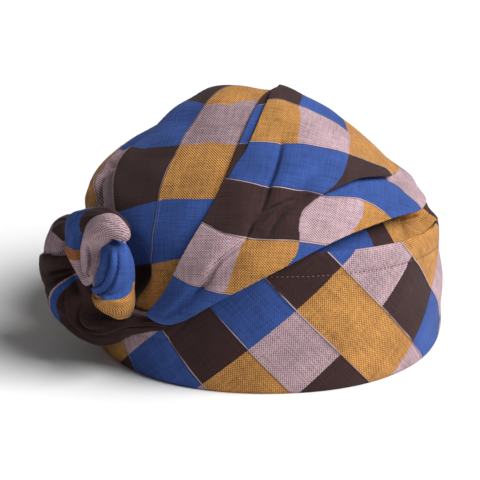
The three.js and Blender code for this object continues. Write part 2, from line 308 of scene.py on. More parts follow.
def plain_top(heading):
    rise = np.where(np.sin(heading) < 0, BAND_TOP.front_rise, BAND_TOP.back_fall)
    return BAND_TOP.sides - rise * np.sin(heading)


def band_top(heading):
    turn = heading - math.radians(BAND_DIP.heading)
    away = np.degrees(np.abs(np.arctan2(np.sin(turn), np.cos(turn))))
    dip = 1 - smoothstep(away, BAND_DIP.half, BAND_DIP.half + BAND_DIP.fade)
    return plain_top(heading) - BAND_DIP.depth * dip


def band_reach(heading, share):
    across = np.abs(np.cos(heading) / BAND.half_width) ** BAND.square
    deep = np.abs(np.sin(heading) / BAND.half_length) ** BAND.square
    lean = BAND_LEAN.top * smoothstep(np.sin(heading), BAND_LEAN.start, BAND_LEAN.end)
    return (across + deep) ** (-1 / BAND.square) - lean * share**2


def band_cover(heading, angle, top_height):
    """Distance from the centre point to a cover over the band, which slopes in above a top height."""
    seat = WRAP_SEAT
    top = top_height - CROWN.centre
    share = (CROWN.centre + BAND.half_length * np.tan(angle)) / top_height
    reach = band_reach(heading, np.clip(share, 0, 1)) + BAND.proud
    wall = reach / np.cos(angle)
    slope = (reach + seat.steep * top) / (np.cos(angle) + seat.steep * np.sin(angle))
    fall = seat.fall * smoothstep(np.degrees(angle), seat.fall_from, seat.fall_to)
    return np.where(angle < 0, wall, soft_min(wall, slope, seat.corner) - fall)


# Form of the crown

def form_distance(heading, angle):
    at = np.maximum(angle, 0) / (math.pi / 2) * (len(FORM["angle"]) - 1)
    across = np.where(np.cos(heading) > 0, along(FORM["right"], at), along(FORM["left"], at))
    deep = np.where(np.sin(heading) > 0, along(FORM["back"], at), along(FORM["front"], at))
    flat = 1 / np.sqrt((np.cos(heading) / across) ** 2 + (np.sin(heading) / deep) ** 2)
    return np.where(angle < 0, flat / np.cos(angle), flat)


def arc_points(places, steps):
    """Directions on a smooth curve through a few places, each a heading and an angle."""
    corners = np.array([direction_at(*np.radians(np.array(place, float))) for place in places])
    at = np.linspace(0, len(places) - 1, steps + 1)
    return unit(curve_through(corners, at))


LIP_CURVES = [(lip, arc_points(lip.through, CROWN_LIP.steps)) for lip in CROWN_LIPS]


def beside_curve(points, direction, distance):
    """How far a place is to one side of a curve and past its ends, and the curve's nearest step."""
    gaps = np.stack([((direction - point) ** 2).sum(-1) for point in points], -1)
    nearest = gaps.argmin(-1)
    i = np.clip(nearest, 1, len(points) - 2)
    tangent = unit(points[i + 1] - points[i - 1])
    across = (np.cross(tangent, points[i]) * (direction - points[i])).sum(-1)
    past = np.sqrt(np.maximum(gaps.min(-1) - across**2, 0))
    return across * distance, past * distance, nearest


def lip_height(lip, points, direction, distance):
    side, past, nearest = beside_curve(points, direction, distance)
    steps = CROWN_LIP.steps
    raised = 1 / (1 + np.exp(-np.clip(side / CROWN_LIP.softness, -50, 50)))
    up = lip.height * np.exp(-np.maximum(side, 0) / lip.reach) * raised
    dip = np.interp(nearest, np.linspace(0, steps, len(lip.dip)), lip.dip)
    down = dip * np.exp(-np.maximum(-side, 0) / lip.dip_reach) * (1 - raised)
    ends = swell(nearest, steps, CROWN_LIP.early, CROWN_LIP.late)
    return (up - down) * ends * np.exp(-((past / CROWN_LIP.fade) ** 2))


def crown_distance(direction):
    heading, angle = angles_of(direction)
    form = form_distance(heading, angle)
    cloth = form + sum(lip_height(*curve, direction, form) for curve in LIP_CURVES)
    inside = band_reach(heading, 1) - BAND.wall - BAND.turn_in - GAP.crown
    top = band_top(heading) + CROWN.roll - CROWN.centre
    slope = np.cos(angle) - np.sin(angle)
    held = soft_min(cloth, inside / np.cos(angle), CROWN.round)
    leaning = soft_min(cloth, (inside - top) / np.maximum(slope, 1e-6), CROWN.round)
    above = np.where(slope > 0, leaning, cloth)
    return np.where(inside * np.tan(angle) <= top, held, above)


# Meshes

def grid_object(name, points, check, weave, ring_columns=False, ring_rows=False):
    """A smooth quad grid of points [row, column] in millimetres, with two maps at its corners: the check in
    blocks and strips, and the weave in millimetres. A ring's last row or column repeats the first."""
    rows, columns = points.shape[:2]
    kept_rows = rows - 1 if ring_rows else rows
    kept_columns = columns - 1 if ring_columns else columns
    ids = (np.arange(rows) % kept_rows)[:, None] * kept_columns + (np.arange(columns) % kept_columns)[None, :]
    before, after = slice(None, -1), slice(1, None)
    corners = [(before, before), (before, after), (after, after), (after, before)]
    faces = np.stack([ids[corner].ravel() for corner in corners], -1)
    places = points[:kept_rows, :kept_columns].reshape(-1, 3) * MM + np.array(AXIS)
    mesh = bpy.data.meshes.new(name)
    mesh.from_pydata(places.tolist(), [], faces.tolist())
    for map_name, values in (("check", check), ("weave", weave)):
        at_corners = np.stack([values[corner].reshape(-1, 2) for corner in corners], 1)
        mesh.uv_layers.new(name=map_name).data.foreach_set("uv", at_corners.astype(np.float32).ravel())
    mesh.polygons.foreach_set("use_smooth", np.ones(len(mesh.polygons), bool))
    mesh.update()
    return add_object(name, mesh)


# Band: its check runs on the bias, so both directions are tilted

BAND_CHECK = Sizes(
    strip=30.6, strip_tilt=42.4, strip_from=1.73,
    block=33.7, block_tilt=-48.6, block_from=2.72,
)
# The band's folded edges: how much shorter the flat part is than the band, where it starts, and the bulge
BAND_EDGES = Sizes(shorter=0.9, start=0.5, bulge=0.45)
BAND_STITCH = Sizes(below_top=11.3, groove=0.5, width=1.1, length=1.8, pitch=2.5, radius=0.28)
# Each stitch's thread: how finely it is divided, how far it bows out of the groove, how deep its ends go in
# and how thin they are, all by its radius, and how far the band may dip where there are stitches
STITCH_THREAD = Sizes(rings=7, sides=6, bow=1.6, sunk=0.8, thin=0.35, most_dip=0.2)
# The way round the band is measured at this share of its height
COLUMN_SHARE = 0.4


def band_columns():
    """Headings round the band from the back seam, and how far round each is from the front."""
    heading = np.linspace(-1.5 * math.pi, 0.5 * math.pi, BAND_CELLS.around + 1)
    reach = band_reach(heading, COLUMN_SHARE)
    steps = np.hypot(np.diff(reach * np.cos(heading)), np.diff(reach * np.sin(heading)))
    run = np.concatenate([[0], np.cumsum(steps)])
    return heading, run - np.interp(-0.5 * math.pi, heading, run)


def band_outside(heading, share, run):
    """How far the outside of the band's cloth is from the axis."""
    height = share * band_top(heading)
    below = band_top(heading) - BAND_STITCH.below_top - height
    groove = BAND_STITCH.groove * np.exp(-((below / BAND_STITCH.width) ** 2))
    waves = ripple("band", run, height) * np.sin(math.pi * share) ** 0.5
    out = np.interp(share, BAND_WALL["share"], BAND_WALL["out"])
    return band_reach(heading, share) + out - groove + waves


def band_piece():
    heading, run = band_columns()
    outside = (1 - np.cos(np.linspace(0, math.pi, BAND_CELLS.outside + 1))) / 2
    inside = np.linspace(1, 0, BAND_CELLS.inside + 1)
    rolls = np.linspace(0, math.pi, BAND_CELLS.roll + 2)[1:-1]
    roll_in, roll_out = (1 - np.cos(rolls)) / 2, (1 + np.cos(rolls)) / 2
    share = np.concatenate([outside, np.ones(len(rolls)), inside, np.zeros(len(rolls)), [0]])
    inward = np.concatenate([0 * outside, roll_in, 1 + 0 * inside, roll_out, [0]])
    bulge = np.concatenate([0 * outside, np.sin(rolls), 0 * inside, -np.sin(rolls), [0]])
    share, inward, bulge = [column[:, None] for column in (share, inward, bulge)]
    heading, run = heading[None, :], run[None, :]
    thick = BAND.wall * np.interp(share, BAND_WALL["share"], BAND_WALL["thick"])
    reach = band_outside(heading, share, run) - inward * thick
    edges = BAND_EDGES
    height = share * (band_top(heading) - edges.shorter) + edges.start + edges.bulge * bulge
    points = np.stack([reach * np.cos(heading), reach * np.sin(heading), height + 0 * reach], -1)
    check = BAND_CHECK
    strip_tilt, block_tilt = math.radians(check.strip_tilt), math.radians(check.block_tilt)
    v = check.strip_from + (run * math.cos(strip_tilt) + height * math.sin(strip_tilt)) / check.strip
    u = check.block_from + (run * math.cos(block_tilt) + height * math.sin(block_tilt)) / check.block
    weave = np.stack([u * check.block, v * check.strip], -1)
    return grid_object("band_cloth", points, np.stack([u, v], -1), weave, ring_columns=True, ring_rows=True)


def stitch_piece():
    """Short threads in the groove below the band's top edge, all round but for the dip at the knot."""
    heading, run = band_columns()
    thread = STITCH_THREAD
    rings, sides = thread.rings, thread.sides
    length = np.linspace(-0.5, 0.5, rings)
    bow = np.cos(length * math.pi)
    points, faces = [], []
    for number in range(int((run[-1] - run[0]) / BAND_STITCH.pitch)):
        at = run[0] + (number + 0.5) * BAND_STITCH.pitch + length * BAND_STITCH.length
        turn = np.interp(at, run, heading)
        height = band_top(turn) - BAND_STITCH.below_top
        if abs(band_top(turn) - plain_top(turn)).max() > thread.most_dip:
            continue
        raised = BAND_STITCH.radius * (thread.bow * bow - thread.sunk)
        reach = band_outside(turn, height / band_top(turn), at) + raised
        middle = np.stack([reach * np.cos(turn), reach * np.sin(turn), height], -1)
        out = np.stack([np.cos(turn), np.sin(turn), 0 * turn], -1)
        radius = BAND_STITCH.radius * (thread.thin + (1 - thread.thin) * bow)
        first = len(points)
        for i in range(rings):
            for side in range(sides):
                angle = 2 * math.pi * side / sides
                offset = math.cos(angle) * out[i] + math.sin(angle) * np.array([0, 0, 1])
                points.append(middle[i] + radius[i] * offset)
        for i in range(rings - 1):
            for side in range(sides):
                a, b = first + i * sides + side, first + i * sides + (side + 1) % sides
                faces.append((a, b, b + sides, a + sides))
        faces.append(tuple(first + side for side in reversed(range(sides))))
        faces.append(tuple(first + (rings - 1) * sides + side for side in range(sides)))
    mesh = bpy.data.meshes.new("band_stitching")
    mesh.from_pydata((np.array(points) * MM + np.array(AXIS)).tolist(), [], faces)
    return add_object("band_stitching", mesh)


# Crown: its strips of check run up from the knot and over the top, and converge towards the knot

CROWN_CHECK = Sizes(run_heading=-130.0, cross_heading=140.0, block=34.0, strip=24.0)
# Lines between the blocks: how far up the run each lies, by how far across, all in degrees
CROWN_BLOCKS = table(
    "cross top first second third fourth",
    (-20, 130, 96, 56.5, 32, 12),
    (-10, 126, 91, 55.2, 28.7, 9),
    (0, 121, 83, 52.2, 26, 5),
    (4, 115, 72, 49.3, 24, 3),
    (12, 108, 68, 46, 19.5, 0),
    (24, 107, 70.5, 42, 13, -4),
    (40, 108, 73, 43, 5, -10),
    (46, 109, 74, 44, 3, -11),
)
# Seams between the strips: how far across each lies, by how far up the run
CROWN_STRIPS = table(
    "run first second third",
    (-10, 6, 30, 40),
    (0, 0.6, 24, 34),
    (5, -1.4, 20, 30),
    (10, -2, 17, 27),
    (18, -0.6, 15.5, 33.5),
    (24, 1.9, 20.8, 41.6),
    (28, 3.6, 24.7, 44.6),
    (33.5, 5.5, 28.5, 46),
    (40, 7.7, 29.6, 47.5),
    (53, 11.2, 29.5, 52),
    (70, 12.8, 32, 54),
    (180, 12.8, 32, 54),
)
# Under the wrap's lip the crown shows only as a narrow strip, whose blocks go by heading
LIP_STRIP = Sizes(start=-102.0, end=141.0, row=4.5)
LIP_STRIP_TOP = table(
    "heading angle",
    (-102, 2),
    (-95, 6),
    (-75, 17),
    (-49, 22),
    (42, 24),
    (77, 24),
    (102, 20),
    (122, 15),
    (141, 11),
)
LIP_BLOCKS = table(
    "heading block",
    (-102, -1),
    (-75, 0),
    (-53, 1),
    (-43, 2),
    (-33, 3),
    (-11.5, 4),
    (20, 5),
    (52, 6),
    (84, 7),
    (116, 8),
    (150, 9),
)
WEAVE_MIDDLE = Sizes(heading=-100.0, angle=40.0)
# Creases and a ridge in the crown, through places that are each a heading and an angle
CROWN_CREASES = [
    fold(
        9.0, 2.4, (-175, 26.5), (-178.5, 24.5), (-178, 22.3), (-175.5, 20.5),
        (-171, 18.5), (-164.5, 16.5), (-159, 14.6),
    ),
    fold(-2.0, 4.0, (178, 24), (178, 21.5), (-178, 19), (-171, 17)),
    fold(12.0, 2.2, (-26, 13.3), (-22.5, 12), (-19, 10.9), (-15, 10.6)),
    fold(7.0, 1.6, (-27, 13.4), (-30, 11.2), (-33, 9.3)),
]
CREASE = Sizes(steps=60, early=4, late=4, past=4.0)
# The crown's cloth is drawn in where it goes into the knot
CROWN_SINK = Sizes(heading=-138.0, angle=3.0, half=7.5, depth=13.0)
# At the right the crown's cloth rolls out over the band's top edge
CROWN_ROLL = Sizes(heading=-12.0, angle=8.5, half=8.5, height=4.8, free=3.0)


def crown_folds(direction, distance):
    """How far the cloth sinks at creases and beside the knot, less where it rolls out."""
    heading, angle = [np.degrees(a) for a in angles_of(direction)]
    from_sink, from_roll = [
        np.hypot(heading - place.heading, angle - place.angle) / place.half
        for place in (CROWN_SINK, CROWN_ROLL)
    ]
    sink = CROWN_SINK.depth * np.exp(-(from_sink**4)) - CROWN_ROLL.height * np.exp(-(from_roll**2))
    for crease in CROWN_CREASES:
        points = arc_points(crease.through, CREASE.steps)
        side, past, nearest = beside_curve(points, direction, distance)
        ends = swell(nearest, CREASE.steps, CREASE.early, CREASE.late) ** 0.5
        away = np.abs(side) / crease.reach + (past / CREASE.past) ** 2
        sink = sink + crease.depth * ends * np.exp(-away)
    return sink


def crown_points():
    heading = np.linspace(-math.pi, math.pi, CROWN_CELLS.around + 1)[None, :]
    reach = band_reach(heading, 1) - BAND.wall
    low, edge, high = [
        np.arctan2(band_top(heading) + lift - CROWN.centre, reach)
        for lift in (-CROWN.tuck, 0, CROWN.shoulder)
    ]
    almost_up = math.pi / 2 - 1e-4
    tucked = np.linspace(0, 1, CROWN_CELLS.tucked + 1)[:, None]
    dome = np.linspace(0, 1, CROWN_CELLS.dome + 1)[1:, None]
    angle = np.concatenate([low + (high - low) * tucked, high + (almost_up - high) * dome])
    direction = direction_at(heading + 0 * angle, angle)
    distance = crown_distance(direction)
    waves = ripple("crown", *np.moveaxis(direction * distance[..., None], -1, 0))
    distance = distance + waves - crown_folds(direction, distance)
    free = CROWN_ROLL.free * np.degrees(np.maximum(angle - edge, 0))
    in_wall = (reach + BAND.wall / 2) / np.cos(angle) + free
    return direction, place_at(direction, np.minimum(distance, in_wall))


def lines_at(lines, by, value):
    """Where each line of a table lies at a value of the column that it goes by."""
    return [np.interp(value, lines[by], places) for name, places in lines.items() if name != by]


def between_lines(value, lines, step):
    """Place of a value among rising lines: 1 at the first, 2 at the next, and beyond them on by a step."""
    total = 1 + np.minimum(value - lines[0], 0) / step + np.maximum(value - lines[-1], 0) / step
    for low, high in zip(lines, lines[1:]):
        total = total + np.clip((value - low) / (high - low), 0, 1)
    return total


def weave_map(direction, distance):
    """The weave in millimetres, laid flat round the middle of what the front shows."""
    heading, angle = math.radians(WEAVE_MIDDLE.heading), math.radians(WEAVE_MIDDLE.angle)
    middle = direction_at(heading, np.array(angle))
    right = np.array([-math.sin(heading), math.cos(heading), 0])
    away = np.arccos(np.clip(direction @ middle, -1, 1))
    stretch = distance * away / np.maximum(np.sin(away), 1e-3)
    return np.stack([direction @ right * stretch, direction @ np.cross(middle, right) * stretch], -1)


def crown_check(direction):
    """The check, measured along and across the way from the knot over the top."""
    run_way, cross_way = [
        direction_at(math.radians(heading), np.array(0.0))
        for heading in (CROWN_CHECK.run_heading, CROWN_CHECK.cross_heading)
    ]
    run = np.degrees(np.arctan2(direction[..., 2], direction @ run_way))
    cross = np.degrees(np.arcsin(np.clip(direction @ cross_way, -1, 1)))
    lines = [-line for line in lines_at(CROWN_BLOCKS, "cross", cross)]
    seams = lines_at(CROWN_STRIPS, "run", run)
    block = between_lines(-run, lines, CROWN_CHECK.block) - 1
    strip = between_lines(cross, seams, CROWN_CHECK.strip)
    return np.stack([block, strip], -1)


def crown_piece():
    direction, points = crown_points()
    heading, angle = [np.degrees(a) for a in angles_of(direction)]
    top = np.interp(heading, LIP_STRIP_TOP["heading"], LIP_STRIP_TOP["angle"])
    under_lip = (heading > LIP_STRIP.start) & (heading < LIP_STRIP.end) & (angle < top)
    block = np.interp(heading, LIP_BLOCKS["heading"], LIP_BLOCKS["block"])
    lip_check = np.stack([block, LIP_STRIP.row + 0 * block], -1)
    check = np.where(under_lip[..., None], lip_check, crown_check(direction))
    weave = weave_map(direction, crown_distance(direction))
    return grid_object("crown_cloth", points, check, weave, ring_columns=True)


# Wrap: each crossing is a path from the edge to the lip, with turned edges and two folded pleats

# Share of the width where the check's lines and the pleats lie, by section
WRAP_LINES = table(
    "section edge_pleat first second front_pleat third",
    (0, 0.02, 1.2, 1.5, 1.5, 1.8),
    (2.1, 0.02, 0.985, 1.3, 1.3, 1.6),
    (2.3, 0.02, 0.765, 1.2, 1.2, 1.5),
    (2.5, 0.02, 0.60, 1.12, 1.12, 1.4),
    (2.7, 0.02, 0.49, 1.01, 1.01, 1.3),
    (2.9, 0.02, 0.425, 0.875, 0.875, 1.2),
    (3.3, 0.02, 0.41, 0.67, 0.67, 1.03),
    (3.6, 0.02, 0.405, 0.585, 0.60, 0.95),
    (3.9, 0.02, 0.40, 0.585, 0.59, 0.89),
    (4.3, 0.025, 0.36, 0.595, 0.60, 0.79),
    (4.8, 0.05, 0.31, 0.56, 0.64, 0.69),
    (5.0, 0.055, 0.29, 0.55, 0.70, 0.95),
    (5.3, 0.055, 0.26, 0.54, 0.79, 1.1),
    (5.7, 0.05, 0.23, 0.535, 0.84, 1.08),
    (6.0, 0.045, 0.20, 0.53, 0.89, 1.05),
    (6.4, 0.035, 0.20, 0.525, 0.93, 1.05),
    (11, 0.03, 0.20, 0.52, 0.93, 1.05),
)
WRAP_LINE_NAMES = [name for name in WRAP_LINES if name != "section"]
# Where each folded pleat starts, is full, weakens and ends, by section
WRAP_FOLD_RUNS = {
    "front": Sizes(start=3.9, full=4.35, weak=5.2, end=6.2),
    "edge": Sizes(start=4.6, full=5.2, weak=7.0, end=8.5),
}
WRAP_FOLD = Sizes(
    front_rise=4.0, front_under=9.0, front_last=0.96, front_overlap=0.12,
    edge_rise=1.5, edge_under=5.0, reach=20.0, least=0.01,
)
WRAP_HEIGHT = Sizes(
    lowest=0.3, least=0.5, edge=1.3, puff=4.0, lip=3.6, lip_reach=9.0,
    hem=7.0, lip_hem=9.0, hem_share=0.3, waves_from=0.6,
)
# Points across the wrap in each stretch of its path, from the hem of its edge to the hem of its lip
WRAP_STEPS = Sizes(
    hem=5, edge_turn=8, narrow=10, tuck_turn=6, tuck=5, top=110,
    front_tuck=8, low=70, lip_turn=12,
)
# The table of lines has its corners rounded over this many sections to each side
WRAP_ROUNDING = Sizes(half=0.12, samples=7)
# Folds that run along the wrap, through places that are each a section and a share of the width
WRAP_VALLEYS = {
    "gathered valley": fold(2.4, 0.12, (1.0, 0.66), (4.4, 0.36)),
    "fold by the tip": fold(2.6, 0.035, (1.7, 0.68), (2.12, 0.58), (2.35, 0.46), (2.5, 0.42), (2.9, 0.45)),
    "dimple": fold(
        3.2, 0.012, (3.3, 0.375), (3.53, 0.345), (3.75, 0.315), (4.0, 0.28), (4.5, 0.245), (5.1, 0.20)
    ),
    "beside the dimple": fold(1.4, 0.05, (3.1, 0.38), (3.9, 0.275), (5.1, 0.19)),
    "first wrinkle": fold(2.8, 0.016, (2.95, 0.41), (3.15, 0.37), (3.43, 0.385), (3.63, 0.43), (3.85, 0.47)),
    "second wrinkle": fold(2.4, 0.022, (3.0, 0.57), (3.2, 0.525), (3.5, 0.495), (3.78, 0.505), (4.0, 0.53)),
    "third wrinkle": fold(1.8, 0.014, (2.85, 0.45), (2.98, 0.42), (3.35, 0.345)),
    "between wrinkles": fold(-1.4, 0.03, (3.05, 0.46), (3.4, 0.445), (3.75, 0.475)),
    "side valley": fold(1.6, 0.05, (3.7, 0.45), (4.7, 0.44)),
    "end of the front pleat": fold(3.0, 0.05, (5.25, 0.81), (5.85, 0.89)),
    "back fold": fold(1.8, 0.12, (7.0, 0.45), (10.6, 0.50)),
}
# Sections where the second to the sixth strip of the check start, by share of the width
WRAP_ROWS = table(
    "share second third fourth fifth sixth",
    (0, 2.04, 3, 3.95, 5, 5.84),
    (0.25, 2.05, 2.9, 3.92, 5.04, 6.14),
    (0.5, 2.05, 2.9, 4.03, 5.24, 6.04),
    (0.62, 2.07, 2.94, 4.03, 5.36, 6.2),
    (0.76, 2.1, 3, 4.31, 5.46, 6.3),
    (0.85, 2.1, 3.01, 4.3, 5.34, 6.3),
    (1, 2.12, 3.03, 4.1, 4.9, 6.3),
)
# Towards the wrap's tip the strips of the check go by more slowly
WRAP_TIP_STRIP = Sizes(slower=0.5, start=0.75)
# The wrap's front end is round: where it starts and has its full width, by section, and how much it narrows
WRAP_TIP = Sizes(start=0.62, full=1.6, narrowing=0.98)
# Check of the wrap: how far inside the pleats' blocks their ends lie, the narrow strip's place in its block,
# and a share of the width well beyond the lip
WRAP_CHECK = Sizes(inside=0.02, narrow=0.5, beyond=2.5)
WRAP_LAST = len(WRAP_SECTIONS["lip_angle"]) - 1


def wrap_direction(section, share):
    sides = []
    for side in ("edge", "lip"):
        headings, tilts = [np.radians(WRAP_SECTIONS[f"{side}_{what}"]) for what in ("heading", "angle")]
        corners = direction_at(headings, tilts)
        sides.append(unit(curve_through(corners, section)))
    edge, lip = sides
    turn = np.arccos(np.clip((edge * lip).sum(-1), -1, 1))
    start, end = np.sin((1 - share) * turn), np.sin(share * turn)
    return unit(edge * start[..., None] + lip * end[..., None]), turn * BAND.half_width


def wrap_seat(direction):
    heading, angle = angles_of(direction)
    cover = band_cover(heading, angle, plain_top(heading))
    return soft_max(crown_distance(direction), cover, WRAP_SEAT.round) + GAP.wrap


def fold_strength(section, name):
    run = WRAP_FOLD_RUNS[name]
    rise = smoothstep(section, run.start, run.full) * (1 - smoothstep(section, run.weak, run.end))
    return max(float(rise), WRAP_FOLD.least)


def wrap_lines(section):
    """Shares where the lines of the check and the pleats lie at a section."""
    near = section + np.linspace(-WRAP_ROUNDING.half, WRAP_ROUNDING.half, WRAP_ROUNDING.samples)
    return {name: line.mean() for name, line in zip(WRAP_LINE_NAMES, lines_at(WRAP_LINES, "section", near))}


def half_turn(x, low, high, toward, count):
    """Points round a folded edge from one height to another. It bulges towards one side."""
    angle = np.linspace(0, math.pi, count + 1)[1:]
    radius = (high - low) / 2
    return x + toward * abs(radius) * np.sin(angle), low + radius * (1 - np.cos(angle))


def wrap_crossing(section):
    """One crossing of the wrap: shares of its width, heights above its seat, and the check's blocks."""
    width = float(wrap_direction(np.array(section), np.array(0.0))[1])
    lines = wrap_lines(section)
    front, edge = fold_strength(section, "front"), fold_strength(section, "edge")
    height, steps = WRAP_HEIGHT, WRAP_STEPS
    ends = math.sin(math.pi * section / WRAP_LAST)
    edge_x = lines["edge_pleat"] * width
    front_x = min(lines["front_pleat"], WRAP_FOLD.front_last) * width
    edge_end = edge_x + edge * WRAP_FOLD.edge_under
    front_end = front_x - front * WRAP_FOLD.front_under

    def valleys(x):
        total = 0 * x
        for valley in WRAP_VALLEYS.values():
            at, shares = zip(*valley.through)
            run = (section - at[0]) / (at[-1] - at[0])
            if 0 < run < 1:
                away = (x / width - np.interp(section, at, shares)) / valley.reach
                total = total + math.sqrt(math.sin(math.pi * run)) * valley.depth * np.exp(-(away**2))
        return total

    def low(x):
        puff = height.puff * ends * np.sin(math.pi * np.clip(x / width, 0, 1))
        lip = (height.lip - height.edge) * np.exp(-(((width - x) / height.lip_reach) ** 2))
        return np.maximum(height.edge + puff + lip - valleys(x), height.least)

    def fading(rise, away):
        return rise * np.exp(-np.maximum(away, 0) / WRAP_FOLD.reach)

    def top(x):
        beside_edge = fading(edge * WRAP_FOLD.edge_rise, x - edge_x)
        return low(x) + beside_edge + fading(front * WRAP_FOLD.front_rise, front_x - x)

    def level(x):
        return height.lowest + 0 * x

    def under_edge(x):
        return low(edge_x) + 0.5 * (top(edge_x) - low(edge_x)) + 0 * x

    def under_front(x):
        return low(x) + 0.5 * (top(front_x) - low(front_x))

    def stretch(form, start, end, count):
        x = np.linspace(start, end, count + 1)[1:]
        return x, form(x)

    hem, lip_hem = [min(size, height.hem_share * width) for size in (height.hem, height.lip_hem)]
    parts = [
        ("narrow", stretch(level, hem, 0, steps.hem)),
        ("narrow", half_turn(0, height.lowest, low(0.0), -1, steps.edge_turn)),
        ("narrow", stretch(low, 0, edge_end, steps.narrow)),
        ("narrow", half_turn(edge_end, low(edge_end), under_edge(edge_end), 1, steps.tuck_turn)),
        ("narrow", stretch(under_edge, edge_end, edge_x, steps.tuck)),
        ("top", half_turn(edge_x, under_edge(edge_x), top(edge_x), -1, steps.tuck_turn)),
        ("top", stretch(top, edge_x, front_x, steps.top)),
        ("top", half_turn(front_x, top(front_x), under_front(front_x), 1, steps.tuck_turn)),
        ("hidden", stretch(under_front, front_x, front_end, steps.front_tuck)),
        ("hidden", half_turn(front_end, under_front(front_end), low(front_end), -1, steps.tuck_turn)),
        ("low", stretch(low, front_end, width, steps.low)),
        ("low", half_turn(width, low(width), height.lowest, 1, steps.lip_turn)),
        ("low", stretch(level, width, width - lip_hem, steps.hem)),
    ]
    x = np.concatenate([part[0] for _, part in parts])
    z = np.concatenate([part[1] for _, part in parts])
    layer = np.concatenate([[name] * len(part[0]) for name, part in parts])
    share = x / width
    pleat = lines["front_pleat"]
    inside, beyond = WRAP_CHECK.inside, WRAP_CHECK.beyond
    top_lines = (lines["edge_pleat"], lines["first"], min(lines["second"], pleat), pleat + 1e-3)
    low_lines = (pleat, max(lines["third"], pleat + 0.01), beyond)
    top_block = np.interp(share, top_lines, (1 + inside, 2, 3, 4 - inside))
    low_block = np.interp(share, low_lines, (4 + inside, 5, 6 - inside))
    is_low = (layer == "low") & (share >= pleat - WRAP_FOLD.front_overlap * front) | (layer == "hidden")
    block = np.where(layer == "narrow", WRAP_CHECK.narrow, np.where(is_low, low_block, top_block))
    return share, z, block


def wrap_piece():
    sections = np.linspace(WRAP_TIP.start, WRAP_LAST, WRAP_CELLS.long + 1)
    crossings = [wrap_crossing(section) for section in sections]
    share, height, block = [np.array(column).T for column in zip(*crossings)]
    section = np.broadcast_to(sections[None, :], share.shape)
    tip = np.clip((WRAP_TIP.full - section) / (WRAP_TIP.full - WRAP_TIP.start), 0, 1)
    direction, _ = wrap_direction(section, share * np.sqrt(1 - WRAP_TIP.narrowing * tip**2))
    distance = wrap_seat(direction) + height
    waves = ripple("wrap", *np.moveaxis(direction * distance[..., None], -1, 0))
    free = np.clip(height - WRAP_HEIGHT.waves_from, 0, 1)
    strip = between_lines(section, lines_at(WRAP_ROWS, "share", share), 1) + 1
    strip = np.maximum(strip, WRAP_TIP_STRIP.slower * strip + WRAP_TIP_STRIP.start)
    check = np.stack([block, strip], -1)
    points = place_at(direction, distance + waves * free)
    return grid_object("wrap_cloth", points, check, weave_map(direction, distance))


# Knot: each strand is a roll of folded cloth, with creases that run along it

# Folds of each strand, through places that are each a share of the length and a way round from the outward
# side in degrees. On one side of a fold the cloth drops steeply, on the other it slopes as far as it reaches.
FOLDS = {
    "knot_end": [
        fold(3.4, 4.5, (0.27, -26), (0.45, 0), (0.66, 26), (0.80, 90)),
        fold(3.4, 4.5, (0.32, -53), (0.56, -29), (0.80, 4), (0.94, 64)),
        fold(2.2, 3, (0.50, -95), (0.68, -20), (0.85, 55)),
        fold(0.9, 1, (0.92, -100), (0.93, 0), (0.92, 100)),
    ],
    "knot_loop": [
        fold(3.6, 5, (0.04, 18), (0.28, 33), (0.47, 12)),
        fold(1.2, 3, (0.15, -60), (0.5, -70), (0.85, -60)),
    ],
    "knot_wrap": [
        fold(1.6, 3, (0.05, -20), (0.3, -15), (0.5, -25)),
        fold(1.6, 4, (0.40, 50), (0.54, 10), (0.68, 25)),
        fold(1.2, 3, (0.62, -30), (0.74, 0), (0.9, 30)),
    ],
    "knot_coil": [
        fold(3.0, 5, (0.155, -80), (0.193, 0), (0.231, 85)),
        fold(4.0, 5, (0.26, -70), (0.284, 0), (0.322, 32), (0.374, 85)),
        fold(4.5, 6, (0.293, -75), (0.327, -9), (0.374, 21), (0.427, 50), (0.475, 85)),
        fold(5.0, 7, (0.394, -45), (0.499, -8), (0.565, 10), (0.632, 28), (0.747, 50)),
        fold(4.0, 5, (0.499, -60), (0.542, -40), (0.599, -20), (0.69, -25)),
        fold(3.0, 4, (0.446, 30), (0.523, 48), (0.618, 62), (0.733, 75)),
        fold(2.4, 4, (0.637, 0), (0.733, 5), (0.857, -5), (0.962, 0)),
    ],
}
FOLD = Sizes(steps=30, early=2, late=2, steep=0.5, past=2.5, most=0.55)
# Blocks along each strand: the share of its length where each ends, and how far a quarter turn slants the end
STRAND_BLOCKS = {
    "knot_end": table("end slant", (0.13, 0), (0.70, 0.2), (0.96, 0), (1.2, 0)),
    "knot_loop": table("end slant", (1.2, 0)),
    "knot_wrap": table("end slant", (0.41, -0.08), (0.68, 0), (0.78, 0), (1.2, 0)),
    "knot_coil": table(
        "end slant", (0.097, 0.01), (0.193, 0.03), (0.372, 0.13), (0.38, 0.13), (0.43, 0.13), (1.2, 0.13)
    ),
}
# The first block of a strand starts before its length does
STRAND_START = -0.3
# Ends of the strands: how round they are, from 0 for flat to 1 for a half ball, how far round from the
# outward side the seen side's middle is in degrees, how far the last end slants over the width and is cut
# back in its middle, and how many rows of the path are a tail behind the other strands, before shares count
STRAND_ENDS = {
    "knot_end": Sizes(round=0.2, seen=38.0, slant=4.0, cut=3.5, tail=0),
    "knot_loop": Sizes(round=1.0, seen=0.0, slant=0.0, cut=0.0, tail=0),
    "knot_wrap": Sizes(round=1.0, seen=0.0, slant=0.0, cut=0.0, tail=0),
    "knot_coil": Sizes(round=1.0, seen=0.0, slant=0.0, cut=0.0, tail=3),
}
# The share of the length from which the slant of an end builds up
SLANT_FROM = 0.55
STRAND_LOBES = Sizes(height=0.02, count=3, twist=4)
# Wrinkles run along a strand: how much of the way round and of the length the waves count
STRAND_WAVES = Sizes(around=10, along=0.35)


